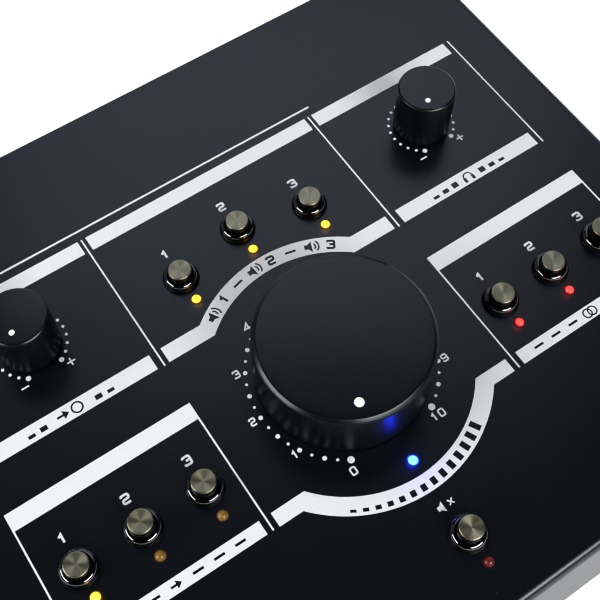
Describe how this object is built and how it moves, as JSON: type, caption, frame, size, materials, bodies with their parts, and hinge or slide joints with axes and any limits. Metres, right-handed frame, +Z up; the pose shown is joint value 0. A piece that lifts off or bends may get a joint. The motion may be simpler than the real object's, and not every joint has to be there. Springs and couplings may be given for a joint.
{
  "type": "studio monitor controller",
  "caption": "Desktop studio monitor controller: a sloping steel case with a large volume knob, two level knobs, latching push buttons, lamps and rear sockets.",
  "frame": {"origin": "on the table, under the middle of the unit's box, at the feet's lower faces", "axes": "+X to the user's right along the case's width, +Y to the rear panel, +Z up"},
  "size_m": [0.2188, 0.19, 0.069],
  "materials": {
    "case_paint": "fine textured powder coat, satin",
    "rubber": "matt",
    "black_steel": "black zinc",
    "zinc_steel": "bright zinc",
    "board_green": "solder resist",
    "ribbon_grey": "vinyl",
    "pot_metal": "pressed steel",
    "black_plastic": "moulded",
    "gloss_black": "black nickel gloss",
    "spun_metal": "spun",
    "soft_touch": "soft touch",
    "marker_white": "matt white",
    "lamp_amber": "lit lens",
    "lamp_red": "lit lens",
    "lamp_blue": "lit lens"
  },
  "bodies": {
    "unit": {"top_cover": "case_paint", "base_tray": "case_paint", "rear_panel": "case_paint", "rubber_feet": "rubber", "foot_screws": "zinc_steel", "case_screws": "black_steel", "main_board": "board_green", "board_standoffs": "zinc_steel", "board_screws": "zinc_steel", "control_board": "board_green", "control_spacers": "zinc_steel", "ribbon_cable": "ribbon_grey", "master_pot": "pot_metal", "level_pots": "pot_metal", "pot_nuts": "zinc_steel", "switch_bodies": "black_plastic", "button_collars": "gloss_black", "speaker_lamps": "lamp_amber", "mix_lamps": "lamp_red", "input_lamps": "lamp_amber", "power_lamp": "lamp_blue", "combi_sockets": "black_plastic", "output_sockets": "black_plastic", "line_sockets": "black_plastic", "socket_nuts": "zinc_steel", "headphone_socket": "black_plastic", "aux_socket": "black_plastic", "dc_inlet": "black_plastic", "power_switch": "black_plastic"},
    "volume_knob": {"master_knob": "soft_touch", "master_marker": "marker_white", "master_shaft": "zinc_steel"},
    "aux_knob_body": {"aux_knob": "soft_touch", "aux_marker": "marker_white", "aux_shaft": "zinc_steel"},
    "headphone_knob_body": {"headphone_knob": "soft_touch", "headphone_marker": "marker_white", "headphone_shaft": "zinc_steel"},
    "button_speaker_1": {"cap_speaker_1": "gloss_black", "disc_speaker_1": "spun_metal"},
    "button_speaker_2": {"cap_speaker_2": "gloss_black", "disc_speaker_2": "spun_metal"},
    "button_speaker_3": {"cap_speaker_3": "gloss_black", "disc_speaker_3": "spun_metal"},
    "button_mix_1": {"cap_mix_1": "gloss_black", "disc_mix_1": "spun_metal"},
    "button_mix_2": {"cap_mix_2": "gloss_black", "disc_mix_2": "spun_metal"},
    "button_mix_3": {"cap_mix_3": "gloss_black", "disc_mix_3": "spun_metal"},
    "button_input_1": {"cap_input_1": "gloss_black", "disc_input_1": "spun_metal"},
    "button_input_2": {"cap_input_2": "gloss_black", "disc_input_2": "spun_metal"},
    "button_input_3": {"cap_input_3": "gloss_black", "disc_input_3": "spun_metal"},
    "button_mute": {"cap_mute": "gloss_black", "disc_mute": "spun_metal"},
    "power_key": {"power_button": "black_plastic"}
  },
  "joints": [
    {"name": "volume_turn", "type": "hinge", "parent": "unit", "child": "volume_knob", "pos_m": [0, -0.01917, 0.04265], "axis": [0, -0.1564, 0.9877], "range_deg": [-300, 0]},
    {"name": "aux_turn", "type": "hinge", "parent": "unit", "child": "aux_knob_body", "pos_m": [-0.0655, 0.03209, 0.05077], "axis": [0, -0.1564, 0.9877], "range_deg": [-294, 6]},
    {"name": "headphone_turn", "type": "hinge", "parent": "unit", "child": "headphone_knob_body", "pos_m": [0.0655, 0.03209, 0.05077], "axis": [0, -0.1564, 0.9877], "range_deg": [-295, 5]},
    {"name": "speaker_1_press", "type": "slide", "parent": "unit", "child": "button_speaker_1", "axis": [0, 0.1564, -0.9877], "range_m": [-0.0015, 0.001], "stiffness_N_per_m": 600},
    {"name": "speaker_2_press", "type": "slide", "parent": "unit", "child": "button_speaker_2", "axis": [0, 0.1564, -0.9877], "range_m": [-0.0015, 0.001], "stiffness_N_per_m": 600},
    {"name": "speaker_3_press", "type": "slide", "parent": "unit", "child": "button_speaker_3", "axis": [0, 0.1564, -0.9877], "range_m": [-0.0015, 0.001], "stiffness_N_per_m": 600},
    {"name": "mix_1_press", "type": "slide", "parent": "unit", "child": "button_mix_1", "axis": [0, 0.1564, -0.9877], "range_m": [-0.0015, 0.001], "stiffness_N_per_m": 600},
    {"name": "mix_2_press", "type": "slide", "parent": "unit", "child": "button_mix_2", "axis": [0, 0.1564, -0.9877], "range_m": [-0.0015, 0.001], "stiffness_N_per_m": 600},
    {"name": "mix_3_press", "type": "slide", "parent": "unit", "child": "button_mix_3", "axis": [0, 0.1564, -0.9877], "range_m": [0, 0.0025], "stiffness_N_per_m": 600},
    {"name": "input_1_press", "type": "slide", "parent": "unit", "child": "button_input_1", "axis": [0, 0.1564, -0.9877], "range_m": [0, 0.0025], "stiffness_N_per_m": 600},
    {"name": "input_2_press", "type": "slide", "parent": "unit", "child": "button_input_2", "axis": [0, 0.1564, -0.9877], "range_m": [0, 0.0025], "stiffness_N_per_m": 600},
    {"name": "input_3_press", "type": "slide", "parent": "unit", "child": "button_input_3", "axis": [0, 0.1564, -0.9877], "range_m": [-0.0015, 0.001], "stiffness_N_per_m": 600},
    {"name": "mute_press", "type": "slide", "parent": "unit", "child": "button_mute", "axis": [0, 0.1564, -0.9877], "range_m": [0, 0.0025], "stiffness_N_per_m": 600},
    {"name": "power_press", "type": "slide", "parent": "unit", "child": "power_key", "axis": [0, -1, 0], "range_m": [-0.0015, 0.001], "stiffness_N_per_m": 600}
  ]
}
